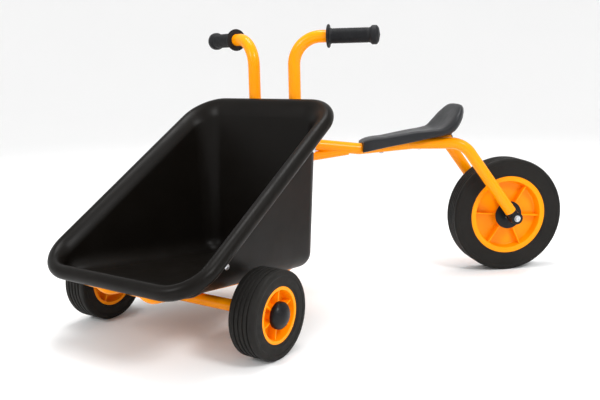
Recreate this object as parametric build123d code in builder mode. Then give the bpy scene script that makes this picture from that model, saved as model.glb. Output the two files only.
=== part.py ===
"""Push tricycle with a scoop-shaped load tub, one STEP file for each sub-part.

Millimetres, +Z up, floor at Z = 0. The rear frame points along -Y and the rider's left is +X.
The front frame stands turned to the left about the steering axis by rest_steer.
"""

import os
from math import asin, atan, cos, radians, sin, sqrt, tan

from build123d import *

os.makedirs("parts", exist_ok=True)

# ---- driving dimensions --------------------------------------------------------------------
rear_wheel_radius = 145.0
front_wheel_radius = 85.0
tyre_width = 58.0
rear_wheel_x = -182.26
rear_wheel_y = 474.29
steer_base = 558.0          # rear axle to steering axis, along the rear frame
tub_base = 408.0            # steering axis to front axle, along the front frame
half_track = 223.0
rest_steer = 46.0           # front frame's turn to the left at rest
steer_limit = 50.0          # turn each way from straight ahead, where the stop pins touch

# ---- tubes and fits ------------------------------------------------------------------------
tube_radius = 14.0
tube_wall = 2.0
axle_tube_radius = 12.0
running_clearance = 0.05
face_clearance = 0.4
plug_wall = 2.5
nose_plug_wall = 1.8

# ---- head and steering ---------------------------------------------------------------------
head_bottom = 290.0
head_length = 75.0
head_radius = 19.0
head_wall = 3.5
bush_flange = 3.0
bush_depth = 14.0
steering_bolt_radius = 6.0
plate_thickness = 6.0
washer_thickness = 2.0
bar_forward = 59.0          # steering axis to the handlebar tubes
bar_half_gap = 57.0         # centre plane to the centre line of each handlebar tube
stop_pin_radius = 4.0
stop_pin_reach = 46.0       # steering axis to the stop pins
stop_pin_height = 32.0

# ---- handlebars and under-frame -------------------------------------------------------------
grip_height = 598.0
grip_sweep = 22.0
grip_end = 233.0
grip_length = 112.0
bar_bend = 62.0
floor_slope = 6.6
nose_reach = 137.0          # front axle to the corner of the under-tube's nose
nose_bend = 42.0
nose_rise = 52.0
grip_radius = 16.5
grip_flange_radius = 26.0
grip_flange_width = 5.0
grip_knob_radius = 21.0
floor_bolt_radius = 3.0
floor_bolt_backs = (191.0, -95.6)   # along the tub's floor, backward from above the front axle
floor_head_radius = 7.0
floor_head_depth = 3.2
floor_head_sink = 0.3
floor_washer = 1.6
floor_nut = 6.0

# ---- tub -----------------------------------------------------------------------------------
tub_wall = 4.0
tub_seat_gap = 0.5          # between the under-tubes and the tub's floor
tub_back = 111.0            # steering axis to the outside of the back wall, near its top
tub_reach = 165.0           # front axle to the outside of the front wall
tub_top = 447.0             # height of the rim's centre line at the back
tub_lip = 160.0             # and at the front
rim_radius = 15.0
rim_overhang = 20.0
tub_back_half = 150.0       # half width outside at the back, at floor level
tub_front_half = 172.0
tub_draft = 3.0
tub_corner = 36.0           # at floor level; the draft widens it towards the rim
tub_bottom_fillet = 27.0
rim_corner = 70.0

# ---- rear frame and saddle -------------------------------------------------------------------
main_tube_head = 352.0      # height of the main tube's centre line at the steering axis
main_bend_back = 172.0      # steering axis to the bend of the main tube
main_bend_height = 329.0
main_rear_height = 342.0
main_rear_back = 408.0      # steering axis to the rear end of the main tube
brace_radius = 11.0
brace_head = 309.0
brace_meet = 150.0
fork_half = 62.0
fork_top_height = 340.0
fork_slope = 1.385          # fall over run of the straight part of a fork tube
fork_bend = 55.0
fork_stop = 20.0            # axle to the end of a fork tube
fork_splay = 105.0          # length over which the fork tubes spread out
fork_join = 8.0             # centre plane to a fork tube where it meets the main tube
fork_insert_depth = 26.0
fork_insert_gap = 0.4
saddle_front = 177.0        # steering axis to the front of the saddle

# ---- axles and wheels --------------------------------------------------------------------------
rear_bolt_radius = 4.0
front_rod_radius = 6.0
eye_radius = 15.0
eye_width = 2 * tube_radius
hub_half = 31.0
hub_radius = 19.0

# ---- places worked out from the sizes above ---------------------------------------------------
pivot_y = rear_wheel_y - steer_base
turn = radians(rest_steer)
rear = Plane(origin=(rear_wheel_x, pivot_y, 0), x_dir=(1, 0, 0), z_dir=(0, 0, 1))
steered = Plane(origin=(rear_wheel_x, pivot_y, 0), x_dir=(sin(turn), -cos(turn), 0), z_dir=(0, 0, 1))
floor_tilt = radians(floor_slope)
front_axle_height = front_wheel_radius
tub_front = tub_base + tub_reach
rim_back = tub_back - rim_overhang
rim_front = tub_front + rim_radius - 2.0
rim_fall = (tub_top - tub_lip) / (rim_front - rim_back)
rim_tilt = atan(rim_fall)


def side(forward, left, height=0.0):
    """Plane along the front frame's length: x is forward, y is up, z points right."""
    return Plane(
        origin=steered.from_local_coords((forward, left, height)),
        x_dir=steered.x_dir,
        z_dir=-steered.y_dir,
    )


def across(forward, left, height=0.0):
    """Plane whose normal points to the front frame's left: x is forward, y is down."""
    return Plane(
        origin=steered.from_local_coords((forward, left, height)),
        x_dir=steered.x_dir,
        z_dir=steered.y_dir,
    )


def level(height, forward=0.0, left=0.0):
    """Level plane of the front frame: x is forward, y is left."""
    return Plane(
        origin=steered.from_local_coords((forward, left, height)),
        x_dir=steered.x_dir,
        z_dir=(0, 0, 1),
    )


def rear_across(left, back, height):
    """Plane of the rear frame whose normal points left: x is backward, y is up."""
    return Plane(
        origin=rear.from_local_coords((left, back, height)), x_dir=(0, 1, 0), z_dir=(1, 0, 0)
    )


def rear_level(height, back=0.0, left=0.0):
    """Level plane of the rear frame: x is left, y is backward."""
    return Plane(
        origin=rear.from_local_coords((left, back, height)), x_dir=(1, 0, 0), z_dir=(0, 0, 1)
    )


def under_tube_height(forward):
    """Height of the under-tubes' centre line, which rests on the axle tube at the axle."""
    over_axle = front_axle_height + axle_tube_radius + tube_radius / cos(floor_tilt)
    return over_axle + tan(floor_tilt) * (forward - tub_base)


def floor_height(forward):
    """Height of the outside of the tub's floor."""
    lift = (tube_radius + tub_seat_gap) / cos(floor_tilt)
    return under_tube_height(forward) + lift


def rim_height(forward):
    """Height of the rim's centre plane, which is the tub's slanted mouth."""
    return tub_top - rim_fall * (forward - rim_back)


# The floor's own plane, on its outside above the axle: x is left and y is backward.
floor_plane = Plane(
    origin=steered.from_local_coords((tub_base, 0, floor_height(tub_base))),
    x_dir=steered.y_dir,
    z_dir=steered.x_dir * -sin(floor_tilt) + Vector(0, 0, cos(floor_tilt)),
)
# The mouth's own plane: x is left, y is backward up the slope, from the middle of the back rim.
mouth_plane = Plane(
    origin=steered.from_local_coords((rim_back, 0, tub_top)),
    x_dir=steered.y_dir,
    z_dir=steered.x_dir * sin(rim_tilt) + Vector(0, 0, cos(rim_tilt)),
)

# ============================================================================================
# Rear frame
# ============================================================================================
main_bend_point = (0, main_bend_back, main_bend_height)
main_rear_point = (0, main_rear_back, main_rear_height)
head_axis = rear_level(head_bottom - 60)

with BuildPart() as head_tube:
    with BuildSketch(rear_level(head_bottom)):
        Circle(head_radius)
        Circle(head_radius - head_wall, mode=Mode.SUBTRACT)
    extrude(amount=head_length)

saddle_bolt_backs = (228.0, 326.0)
saddle_bolt_radius = 3.0
saddle_bolt_depth = 26.0


def main_tube_height(back):
    """Height of the main tube's centre line under the saddle."""
    share = (back - main_bend_back) / (main_rear_back - main_bend_back)
    return main_bend_height + share * (main_rear_height - main_bend_height)


with BuildPart(mode=Mode.PRIVATE) as main_tube_solid:
    with BuildLine(rear) as main_path:
        FilletPolyline(
            (0, 0, main_tube_head), main_bend_point, main_rear_point, radius=4 * tube_radius
        )
    with BuildSketch(Plane(origin=main_path.line @ 0, z_dir=main_path.line % 0)):
        Circle(tube_radius)
    sweep(path=main_path.line)

with BuildPart() as main_tube:
    with BuildSketch(Plane(origin=main_path.line @ 0, z_dir=main_path.line % 0)):
        Circle(tube_radius)
        Circle(tube_radius - tube_wall, mode=Mode.SUBTRACT)
    sweep(path=main_path.line)
    with BuildSketch(head_axis):
        Circle(head_radius)
    extrude(amount=3 * head_length, mode=Mode.SUBTRACT)
    with BuildSketch(rear_level(main_bend_height - 3 * tube_radius)):
        with Locations([(0, back) for back in saddle_bolt_backs]):
            Circle(saddle_bolt_radius)
    extrude(amount=6 * tube_radius, mode=Mode.SUBTRACT)

main_rear_tangent = main_path.line % 1
with BuildPart() as main_tube_plug:
    with BuildSketch(Plane(origin=main_path.line @ 1, z_dir=main_rear_tangent)):
        Circle(tube_radius)
    extrude(amount=plug_wall)
    with BuildSketch(Plane(origin=main_path.line @ 1, z_dir=-main_rear_tangent)):
        Circle(tube_radius - tube_wall)
        Circle(tube_radius - tube_wall - plug_wall, mode=Mode.SUBTRACT)
    extrude(amount=15)

with BuildPart() as brace_tube:
    with BuildLine(rear) as brace_path:
        Line((0, 0, brace_head), (0, brace_meet, main_tube_height(main_bend_back)))
    with BuildSketch(Plane(origin=brace_path.line @ 0, z_dir=brace_path.line % 0)):
        Circle(brace_radius)
        Circle(brace_radius - tube_wall, mode=Mode.SUBTRACT)
    sweep(path=brace_path.line)
    with BuildSketch(head_axis):
        Circle(head_radius)
    extrude(amount=3 * head_length, mode=Mode.SUBTRACT)
    add(main_tube_solid.part, mode=Mode.SUBTRACT)

fork_corner_back = steer_base - (fork_top_height - rear_wheel_radius) / fork_slope
fork_join_back = fork_corner_back - fork_splay
fork_tilt = Vector(0, 1, -fork_slope).normalized()
fork_tubes = {}
fork_inserts = {}
for name, hand in (("left", 1), ("right", -1)):
    eye_centre = Vector(hand * fork_half, steer_base, rear_wheel_radius)
    fork_corner = Vector(hand * fork_half, fork_corner_back, fork_top_height)
    fork_start = Vector(hand * fork_join, fork_join_back, fork_top_height - 3)
    fork_end = eye_centre - fork_tilt * fork_stop
    with BuildPart() as fork_tube:
        with BuildLine(rear) as fork_path:
            FilletPolyline(tuple(fork_start), tuple(fork_corner), tuple(fork_end), radius=fork_bend)
        with BuildSketch(Plane(origin=fork_path.line @ 0, z_dir=fork_path.line % 0)):
            Circle(tube_radius)
            Circle(tube_radius - tube_wall, mode=Mode.SUBTRACT)
        sweep(path=fork_path.line)
        add(main_tube_solid.part, mode=Mode.SUBTRACT)
        outside_main_tube = fork_tube.part.solids().sort_by(SortBy.VOLUME)[-1]
    with BuildPart() as trimmed_fork_tube:
        add(outside_main_tube)
        with BuildSketch(rear_across(0, 0, 0)):
            with Locations((steer_base / 2, rear_wheel_radius)):
                Rectangle(3 * steer_base, 4 * rear_wheel_radius)
        extrude(amount=-hand * 3 * fork_half, mode=Mode.SUBTRACT)
    fork_tubes[name] = trimmed_fork_tube
    with BuildPart() as fork_insert:
        with BuildSketch(Plane(origin=fork_path.line @ 1, z_dir=fork_path.line % 1)):
            Circle(tube_radius - tube_wall)
        extrude(amount=-fork_insert_depth)
        with BuildSketch(Plane(origin=fork_path.line @ 1, z_dir=fork_path.line % 1)):
            Circle(tube_radius - fork_insert_gap)
        extrude(amount=fork_stop)
        with BuildSketch(rear_across(hand * fork_half - eye_width / 2, steer_base, rear_wheel_radius)):
            Circle(eye_radius)
        extrude(amount=eye_width)
        with BuildSketch(rear_across(hand * fork_half - eye_width, steer_base, rear_wheel_radius)):
            Circle(rear_bolt_radius)
        extrude(amount=2 * eye_width, mode=Mode.SUBTRACT)
    fork_inserts[name] = fork_insert

# ---- head bushes and steering bolt -----------------------------------------------------------
bush_bore = steering_bolt_radius + running_clearance
head_bushes = {}
for name, seat, way in (("upper", head_bottom + head_length, 1), ("lower", head_bottom, -1)):
    with BuildPart() as head_bush:
        with BuildSketch(rear_level(seat)):
            Circle(head_radius - 1)
            Circle(bush_bore, mode=Mode.SUBTRACT)
        extrude(amount=way * bush_flange)
        with BuildSketch(rear_level(seat)):
            Circle(head_radius - head_wall)
            Circle(bush_bore, mode=Mode.SUBTRACT)
        extrude(amount=-way * bush_depth)
    head_bushes[name] = head_bush

upper_plate_bottom = head_bottom + head_length + bush_flange + face_clearance
lower_plate_top = head_bottom - bush_flange - face_clearance
lower_plate_bottom = lower_plate_top - plate_thickness
upper_plate_top = upper_plate_bottom + plate_thickness
nut_height = 12.0
hex_radius = 10.4
head_height = 7.5

with BuildPart() as steering_bolt:
    with BuildSketch(rear_level(lower_plate_bottom - washer_thickness - nut_height - 4)):
        Circle(steering_bolt_radius)
    extrude(amount=upper_plate_top + 2 * washer_thickness + nut_height + 4 - lower_plate_bottom)
    with BuildSketch(rear_level(upper_plate_top + washer_thickness)):
        RegularPolygon(hex_radius, 6)
    extrude(amount=head_height)

with BuildPart() as steering_nut:
    with BuildSketch(rear_level(lower_plate_bottom - washer_thickness)):
        RegularPolygon(hex_radius, 6)
        Circle(steering_bolt_radius, mode=Mode.SUBTRACT)
    extrude(amount=-nut_height)

with BuildPart() as steering_washers:
    for height in (upper_plate_top, lower_plate_bottom - washer_thickness):
        with BuildSketch(rear_level(height)):
            Circle(2 * steering_bolt_radius)
            Circle(steering_bolt_radius, mode=Mode.SUBTRACT)
        extrude(amount=washer_thickness)

# ============================================================================================
# Front frame
# ============================================================================================
nose_corner = tub_base + nose_reach
sweep_angle = radians(grip_sweep)
grip_run = (grip_end - bar_half_gap) / cos(sweep_angle)
bar_tubes = {}
bar_solids = {}
bar_grips = {}
bar_plugs = {}
under_tube_depth = 2 * tube_radius + tub_seat_gap
for name, hand in (("left", 1), ("right", -1)):
    nose_point = (
        nose_corner + nose_rise * 0.75,
        hand * bar_half_gap,
        under_tube_height(nose_corner) + nose_rise,
    )
    bend_point = (nose_corner, hand * bar_half_gap, under_tube_height(nose_corner))
    heel_point = (bar_forward, hand * bar_half_gap, under_tube_height(bar_forward))
    neck_point = (bar_forward, hand * bar_half_gap, grip_height)
    grip_point = (
        bar_forward - grip_run * sin(sweep_angle),
        hand * (bar_half_gap + grip_run * cos(sweep_angle)),
        grip_height,
    )
    with BuildPart(mode=Mode.PRIVATE) as bar_solid:
        with BuildLine(steered) as bar_path:
            FilletPolyline(
                nose_point,
                bend_point,
                heel_point,
                neck_point,
                grip_point,
                radius=(nose_bend, bar_bend, bar_bend),
            )
        with BuildSketch(Plane(origin=bar_path.line @ 0, z_dir=bar_path.line % 0)):
            Circle(tube_radius)
        sweep(path=bar_path.line)
        with BuildSketch(floor_plane.offset(-tub_seat_gap)):
            with Locations((0, -nose_reach)):
                Rectangle(4 * bar_half_gap, 1.4 * nose_reach)
        extrude(amount=2 * nose_rise, mode=Mode.SUBTRACT)
    bar_solids[name] = bar_solid
    with BuildPart(mode=Mode.PRIVATE) as bar_bore:
        with BuildSketch(Plane(origin=bar_path.line @ 0, z_dir=bar_path.line % 0)):
            Circle(tube_radius - tube_wall)
        sweep(path=bar_path.line)
    with BuildPart() as bar_tube:
        add(bar_solid.part)
        add(bar_bore.part, mode=Mode.SUBTRACT)
        with BuildSketch(floor_plane):
            with Locations([(hand * bar_half_gap, back) for back in floor_bolt_backs]):
                Circle(floor_bolt_radius)
        extrude(amount=-under_tube_depth, mode=Mode.SUBTRACT)
    bar_tubes[name] = bar_tube
    with BuildPart() as nose_plug:
        with BuildSketch(floor_plane.offset(-tub_seat_gap - nose_plug_wall)):
            with Locations((0, -nose_reach)):
                Rectangle(4 * bar_half_gap, 1.4 * nose_reach)
        extrude(amount=nose_plug_wall)
        add(bar_bore.part, mode=Mode.INTERSECT)
    bar_plugs[name] = nose_plug

    grip_axis = Vector(-sin(sweep_angle), hand * cos(sweep_angle), 0)
    grip_out = Vector(*grip_point)
    grip_in = grip_out - grip_axis * grip_length
    grip_plane = Plane(
        origin=steered.from_local_coords(tuple(grip_in)),
        x_dir=(0, 0, 1),
        z_dir=steered.from_local_coords(tuple(grip_axis)) - steered.origin,
    )
    with BuildPart() as bar_grip:
        grip_section = Plane(origin=grip_plane.origin, x_dir=grip_plane.z_dir, z_dir=-grip_plane.y_dir)
        with BuildSketch(grip_section):
            with BuildLine():
                Polyline(
                    (0, tube_radius),
                    (0, grip_flange_radius),
                    (grip_flange_width, grip_flange_radius),
                    (grip_flange_width + 3, grip_radius + 1),
                    (grip_length - 22, grip_radius),
                    (grip_length - 12, grip_knob_radius),
                    (grip_length - 1, grip_knob_radius),
                    (grip_length + 5, grip_radius - 3),
                    (grip_length + 5, 0),
                    (grip_length, 0),
                    (grip_length, tube_radius),
                    close=True,
                )
            make_face()
        revolve(axis=Axis(grip_plane.origin, grip_plane.z_dir))
    bar_grips[name] = bar_grip

# ---- cross plates between the handlebar tubes ------------------------------------------------
stop_angle = radians(steer_limit + 0.7) + asin((brace_radius + stop_pin_radius) / stop_pin_reach)
stop_back = -stop_pin_reach * cos(stop_angle)
stop_left = stop_pin_reach * sin(stop_angle)
cross_plates = {}
for name, bottom in (("upper", upper_plate_bottom), ("lower", lower_plate_bottom)):
    with BuildPart() as cross_plate:
        with BuildSketch(level(bottom)):
            with BuildLine():
                Polyline(
                    (bar_forward + 10, -bar_half_gap),
                    (bar_forward + 10, bar_half_gap),
                    (bar_forward - 8, bar_half_gap),
                    (stop_back, stop_left + 8),
                    (stop_back - 9, stop_left - 4),
                    (-22, 12),
                    (-22, -12),
                    (stop_back - 9, -stop_left + 4),
                    (stop_back, -stop_left - 8),
                    (bar_forward - 8, -bar_half_gap),
                    close=True,
                )
            make_face()
            Circle(steering_bolt_radius, mode=Mode.SUBTRACT)
        extrude(amount=plate_thickness)
        for bar_solid in bar_solids.values():
            add(bar_solid.part, mode=Mode.SUBTRACT)
    cross_plates[name] = cross_plate

with BuildPart() as stop_pins:
    with BuildSketch(level(lower_plate_top)):
        with Locations((stop_back, stop_left), (stop_back, -stop_left)):
            Circle(stop_pin_radius)
    extrude(amount=stop_pin_height)

# ---- front axle ------------------------------------------------------------------------------------
axle_tube_half = half_track - hub_half - 4.0
with BuildPart() as axle_tube:
    with BuildSketch(side(tub_base, axle_tube_half, front_axle_height)):
        Circle(axle_tube_radius)
        Circle(front_rod_radius, mode=Mode.SUBTRACT)
    extrude(amount=2 * axle_tube_half)
    for bar_solid in bar_solids.values():
        add(bar_solid.part, mode=Mode.SUBTRACT)

rod_half = half_track + hub_half
with BuildPart() as axle_rod:
    with BuildSketch(side(tub_base, rod_half, front_axle_height)):
        Circle(front_rod_radius)
    extrude(amount=2 * rod_half)
    chamfer(axle_rod.edges().filter_by(GeomType.CIRCLE), length=1)

# ---- tub ---------------------------------------------------------------------------------------
draft_rise = tan(radians(tub_draft))
draft_low = 60.0
draft_high = tub_top + 40.0


def tub_outline(height, inset):
    """Corners of the tub's level section at a height, drawn in by inset."""
    spread = draft_rise * (height - front_axle_height) - inset
    back = tub_back + draft_rise * (tub_top - height) + inset
    front = tub_front - draft_rise * (rim_height(tub_front) - height) - inset
    return [
        (back, -tub_back_half - spread),
        (front, -tub_front_half - spread),
        (front, tub_front_half + spread),
        (back, tub_back_half + spread),
    ]


tub_solids = {}
for name, inset in (("outside", 0.0), ("cavity", tub_wall)):
    with BuildPart(mode=Mode.PRIVATE) as tub_solid:
        with BuildSketch(level(draft_low)):
            with BuildLine():
                FilletPolyline(*tub_outline(draft_low, inset), radius=tub_corner - inset, close=True)
            make_face()
        extrude(amount=draft_high - draft_low, taper=-tub_draft)
        split(bisect_by=floor_plane.offset(inset), keep=Keep.TOP)
        low_face = tub_solid.faces().sort_by(Axis(floor_plane.origin, floor_plane.z_dir))[0]
        fillet(low_face.edges(), radius=tub_bottom_fillet - inset)
    tub_solids[name] = tub_solid

rim_run = (rim_front - rim_back) / cos(rim_tilt)
rim_back_half = tub_back_half + draft_rise * (tub_top - front_axle_height) + rim_overhang
rim_front_half = tub_front_half + draft_rise * (rim_height(rim_front) - front_axle_height) + rim_overhang
rim_corners = [
    (-rim_back_half, 0),
    (-rim_front_half, -rim_run),
    (rim_front_half, -rim_run),
    (rim_back_half, 0),
]
rim_screw_spots = (tub_back + 42.0, tub_front - 112.0)
rim_screw_drop = 28.0
rim_screw_radius = 2.5
rim_screw_stand = 1.9       # outside of the wall to the top of a screw's shank
rim_screw_length = tub_wall + rim_screw_stand
rim_screw_shanks = []
for spot in rim_screw_spots:
    screw_height = rim_height(spot) - rim_screw_drop
    share = (spot - tub_back) / (tub_front - tub_back)
    half = tub_back_half + share * (tub_front_half - tub_back_half)
    skin = half + draft_rise * (screw_height - front_axle_height)
    for hand in (1, -1):
        rim_screw_shanks.append(
            Plane(
                origin=steered.from_local_coords((spot, hand * (skin - tub_wall), screw_height)),
                x_dir=steered.x_dir,
                z_dir=steered.y_dir * hand,
            )
        )
floor_bolt_places = [(hand * bar_half_gap, back) for back in floor_bolt_backs for hand in (1, -1)]
with BuildPart() as tub:
    add(tub_solids["outside"].part)
    split(bisect_by=mouth_plane, keep=Keep.BOTTOM)
    with BuildSketch(mouth_plane):
        with BuildLine():
            FilletPolyline(*rim_corners, radius=rim_corner, close=True)
        make_face()
    extrude(amount=-tub_wall)
    with BuildLine(mouth_plane) as rim_path:
        FilletPolyline(*rim_corners, radius=rim_corner, close=True)
    with BuildSketch(Plane(origin=rim_path.line @ 0, x_dir=mouth_plane.z_dir, z_dir=rim_path.line % 0)):
        Circle(rim_radius)
    sweep(path=rim_path.line)
    add(tub_solids["cavity"].part, mode=Mode.SUBTRACT)
    with BuildSketch(floor_plane):
        with Locations(floor_bolt_places):
            Circle(floor_bolt_radius)
    extrude(amount=tub_wall, mode=Mode.SUBTRACT)
    with BuildSketch(floor_plane.offset(tub_wall)):
        with Locations(floor_bolt_places):
            Circle(floor_head_radius)
    extrude(amount=-floor_head_depth, taper=45, mode=Mode.SUBTRACT)
    for shank in rim_screw_shanks:
        with BuildSketch(shank):
            Circle(rim_screw_radius)
        extrude(amount=rim_screw_length, mode=Mode.SUBTRACT)

# ---- fasteners of the tub ------------------------------------------------------------------------
floor_shank_end = -under_tube_depth - floor_washer - floor_nut - 2.0
with BuildPart() as floor_bolts:
    with BuildSketch(floor_plane.offset(floor_shank_end)):
        with Locations(floor_bolt_places):
            Circle(floor_bolt_radius)
    extrude(amount=tub_wall - floor_head_sink - floor_shank_end)
    with BuildSketch(floor_plane.offset(tub_wall - floor_head_sink)):
        with Locations(floor_bolt_places):
            Circle(floor_head_radius - floor_head_sink)
    extrude(amount=floor_head_sink - floor_head_depth, taper=45)

with BuildPart() as floor_nuts:
    with BuildSketch(floor_plane.offset(-under_tube_depth - floor_washer)):
        with Locations(floor_bolt_places):
            RegularPolygon(1.93 * floor_bolt_radius, 6)
            Circle(floor_bolt_radius, mode=Mode.SUBTRACT)
    extrude(amount=-floor_nut)

with BuildPart() as floor_washers:
    with BuildSketch(floor_plane.offset(-under_tube_depth)):
        with Locations(floor_bolt_places):
            Circle(2.3 * floor_bolt_radius)
            Circle(floor_bolt_radius, mode=Mode.SUBTRACT)
    extrude(amount=-floor_washer)

with BuildPart() as rim_screws:
    for shank in rim_screw_shanks:
        with BuildSketch(shank):
            Circle(rim_screw_radius)
        extrude(amount=rim_screw_length)
        with BuildSketch(shank.offset(rim_screw_length - 1.4)):
            Circle(2.2 * rim_screw_radius)
        extrude(amount=2.4, taper=20)

# ============================================================================================
# Saddle
# ============================================================================================
saddle_nose_half = 27.0
saddle_rear_half = 80.0
saddle_rear = 445.0
skirt_bottom = 324.0
saddle_clear = 1.0
saddle_floor = fork_top_height + tube_radius + 4.0
fork_spread = atan((fork_half - fork_join) / fork_splay)
recess_margin = tube_radius / cos(fork_spread) + 2 * saddle_clear
with BuildPart() as saddle:
    with BuildSketch(rear_across(-saddle_rear_half, 0, 0)):
        with BuildLine():
            Spline(
                (saddle_front, 349),
                (saddle_front + 113, 371),
                (saddle_front + 150, 382),
                (saddle_front + 176, 403),
                (saddle_front + 198, 425),
                (saddle_front + 225, 437),
                (saddle_front + 246, 437),
                (saddle_front + 262, 424),
            )
            Spline(
                (saddle_front + 262, 424),
                (saddle_front + 267, 402),
                (saddle_front + 256, 376),
                (saddle_front + 238, saddle_floor + 2),
                (saddle_front + 217, saddle_floor),
            )
            Polyline(
                (saddle_front + 217, saddle_floor),
                (saddle_front, skirt_bottom),
                (saddle_front, 349),
            )
        make_face()
    extrude(amount=2 * saddle_rear_half)
    with BuildSketch(rear_level(250)) as saddle_plan:
        with BuildLine():
            Polyline(
                (0, saddle_front - 1),
                (saddle_nose_half - 8, saddle_front - 1),
                (saddle_nose_half, saddle_front + 8),
            )
            Spline(
                (saddle_nose_half, saddle_front + 8),
                (saddle_nose_half + 12, saddle_front + 105),
                (saddle_rear_half - 16, saddle_front + 160),
                (saddle_rear_half, saddle_front + 205),
                (saddle_rear_half - 18, saddle_front + 258),
                (0, saddle_front + 270),
            )
            Line((0, saddle_front + 270), (0, saddle_front - 1))
        make_face()
        mirror(about=Plane.YZ)
    extrude(amount=220, mode=Mode.INTERSECT)
    with BuildLine(rear) as channel_path:
        Line(
            (0, main_bend_back - 40, main_tube_height(main_bend_back - 40)),
            (0, main_rear_back + 40, main_tube_height(main_rear_back + 40)),
        )
    with BuildSketch(Plane(origin=channel_path.line @ 0, x_dir=(1, 0, 0), z_dir=channel_path.line % 0)):
        Circle(tube_radius + saddle_clear)
        with Locations((0, 2 * tube_radius)):
            Rectangle(2 * (tube_radius + saddle_clear), 4 * tube_radius)
    sweep(path=channel_path.line, mode=Mode.SUBTRACT)
    with BuildSketch(rear_level(skirt_bottom)):
        with BuildLine():
            Polyline(
                (0, fork_join_back - tube_radius),
                (fork_join + recess_margin, fork_join_back - tube_radius),
                (fork_half + recess_margin, fork_corner_back),
                (fork_half + recess_margin, saddle_rear),
                (0, saddle_rear),
                close=True,
            )
        make_face()
        mirror(about=Plane.YZ)
    extrude(amount=saddle_floor - skirt_bottom, mode=Mode.SUBTRACT)
    with BuildSketch(rear_level(main_bend_height)):
        with Locations([(0, back) for back in saddle_bolt_backs]):
            Circle(saddle_bolt_radius)
    extrude(amount=saddle_bolt_depth + tube_radius, mode=Mode.SUBTRACT)

with BuildPart() as saddle_bolts:
    for back in saddle_bolt_backs:
        seat = main_tube_height(back) - tube_radius - 0.6
        with BuildSketch(rear_level(seat, back)):
            Circle(saddle_bolt_radius)
        extrude(amount=2 * tube_radius + saddle_bolt_depth - 8)
        with BuildSketch(rear_level(seat, back)):
            Circle(2 * saddle_bolt_radius)
        extrude(amount=-3.5, taper=15)

# ============================================================================================
# Wheels
# ============================================================================================
cover_hole = 9.5
cover_thickness = 2.5
cover_grip = 4.6
cap_skirt = 8.0
cap_rise = 9.0
cap_wall = 2.2
retainer_width = 4.0
tyre_shoulder = 6.0
tyre_heel = 2.5
tread_groove = 2.6
rim_half = 26.0
rib_count = 6
rib_thickness = 4.0
web_half = 4.0
wheel_sizes = {
    "rear": {
        "plane": rear_across(0, steer_base, rear_wheel_radius),
        "radius": rear_wheel_radius,
        "seat": 100.0,
        "ring": 13.0,
        "bore": rear_bolt_radius,
        "race": 11.0,
        "race_width": 7.0,
        "cap": 35.5,
    },
    "left": {
        "plane": across(tub_base, half_track, front_axle_height),
        "radius": front_wheel_radius,
        "seat": 54.5,
        "ring": 7.0,
        "bore": front_rod_radius,
        "race": 14.0,
        "race_width": 8.0,
        "cap": 26.0,
    },
}
wheel_sizes["right"] = dict(wheel_sizes["left"], plane=across(tub_base, -half_track, front_axle_height))
tyres = {}
rims = {}
bearing_outers = {}
bearing_balls = {}
for name, size in wheel_sizes.items():
    plane = size["plane"]
    axle = Axis(plane.origin, plane.z_dir)
    section = Plane(origin=plane.origin, x_dir=plane.z_dir, z_dir=-plane.y_dir)
    radius = size["radius"]
    seat = size["seat"]
    race_width = size["race_width"]
    pocket = rim_half - race_width
    with BuildPart() as tyre:
        with BuildSketch(section) as tyre_section:
            with Locations((0, (radius + seat) / 2)):
                Rectangle(tyre_width, radius - seat)
            fillet(tyre_section.vertices().group_by(Axis.Y)[-1], radius=tyre_shoulder)
            fillet(tyre_section.vertices().group_by(Axis.Y)[0], radius=tyre_heel)
            with Locations([(pitch * tyre_width / 6, radius) for pitch in (-1.5, -0.5, 0.5, 1.5)]):
                Rectangle(tread_groove, 2 * tread_groove, mode=Mode.SUBTRACT)
        revolve(axis=axle)
    tyres[name] = tyre
    with BuildPart() as rim:
        with BuildSketch(section):
            with BuildLine():
                Polyline(
                    (-rim_half, seat),
                    (rim_half, seat),
                    (rim_half, seat - size["ring"]),
                    (web_half, seat - size["ring"] - 3),
                    (web_half, hub_radius),
                    (rim_half, hub_radius),
                    (rim_half, size["race"]),
                    (pocket, size["race"]),
                    (pocket, size["race"] - 2),
                    (-pocket, size["race"] - 2),
                    (-pocket, size["race"]),
                    (-rim_half, size["race"]),
                    (-rim_half, hub_radius),
                    (-web_half, hub_radius),
                    (-web_half, seat - size["ring"] - 3),
                    (-rim_half, seat - size["ring"]),
                    close=True,
                )
            make_face()
        revolve(axis=axle)
        with BuildSketch(plane.offset(-rim_half + 5)):
            with PolarLocations((hub_radius + seat - size["ring"]) / 2, rib_count):
                Rectangle(seat - size["ring"] - hub_radius + 3, rib_thickness)
        extrude(amount=2 * rim_half - 10)
    rims[name] = rim
    with BuildPart() as bearing_outer:
        for face in (pocket, -rim_half):
            with BuildSketch(plane.offset(face)):
                Circle(size["race"])
                Circle(size["race"] - 2.2, mode=Mode.SUBTRACT)
            extrude(amount=race_width)
    bearing_outers[name] = bearing_outer
    ball_gap = size["race"] - 2.2 - (size["bore"] + 2.1)
    ball_circle = size["bore"] + 2.1 + ball_gap / 2
    with BuildPart() as balls:
        for face in (pocket + race_width / 2, -pocket - race_width / 2):
            with Locations(plane.offset(face)):
                with PolarLocations(ball_circle, 7):
                    Sphere(ball_gap / 2 - running_clearance)
    bearing_balls[name] = balls

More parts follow.
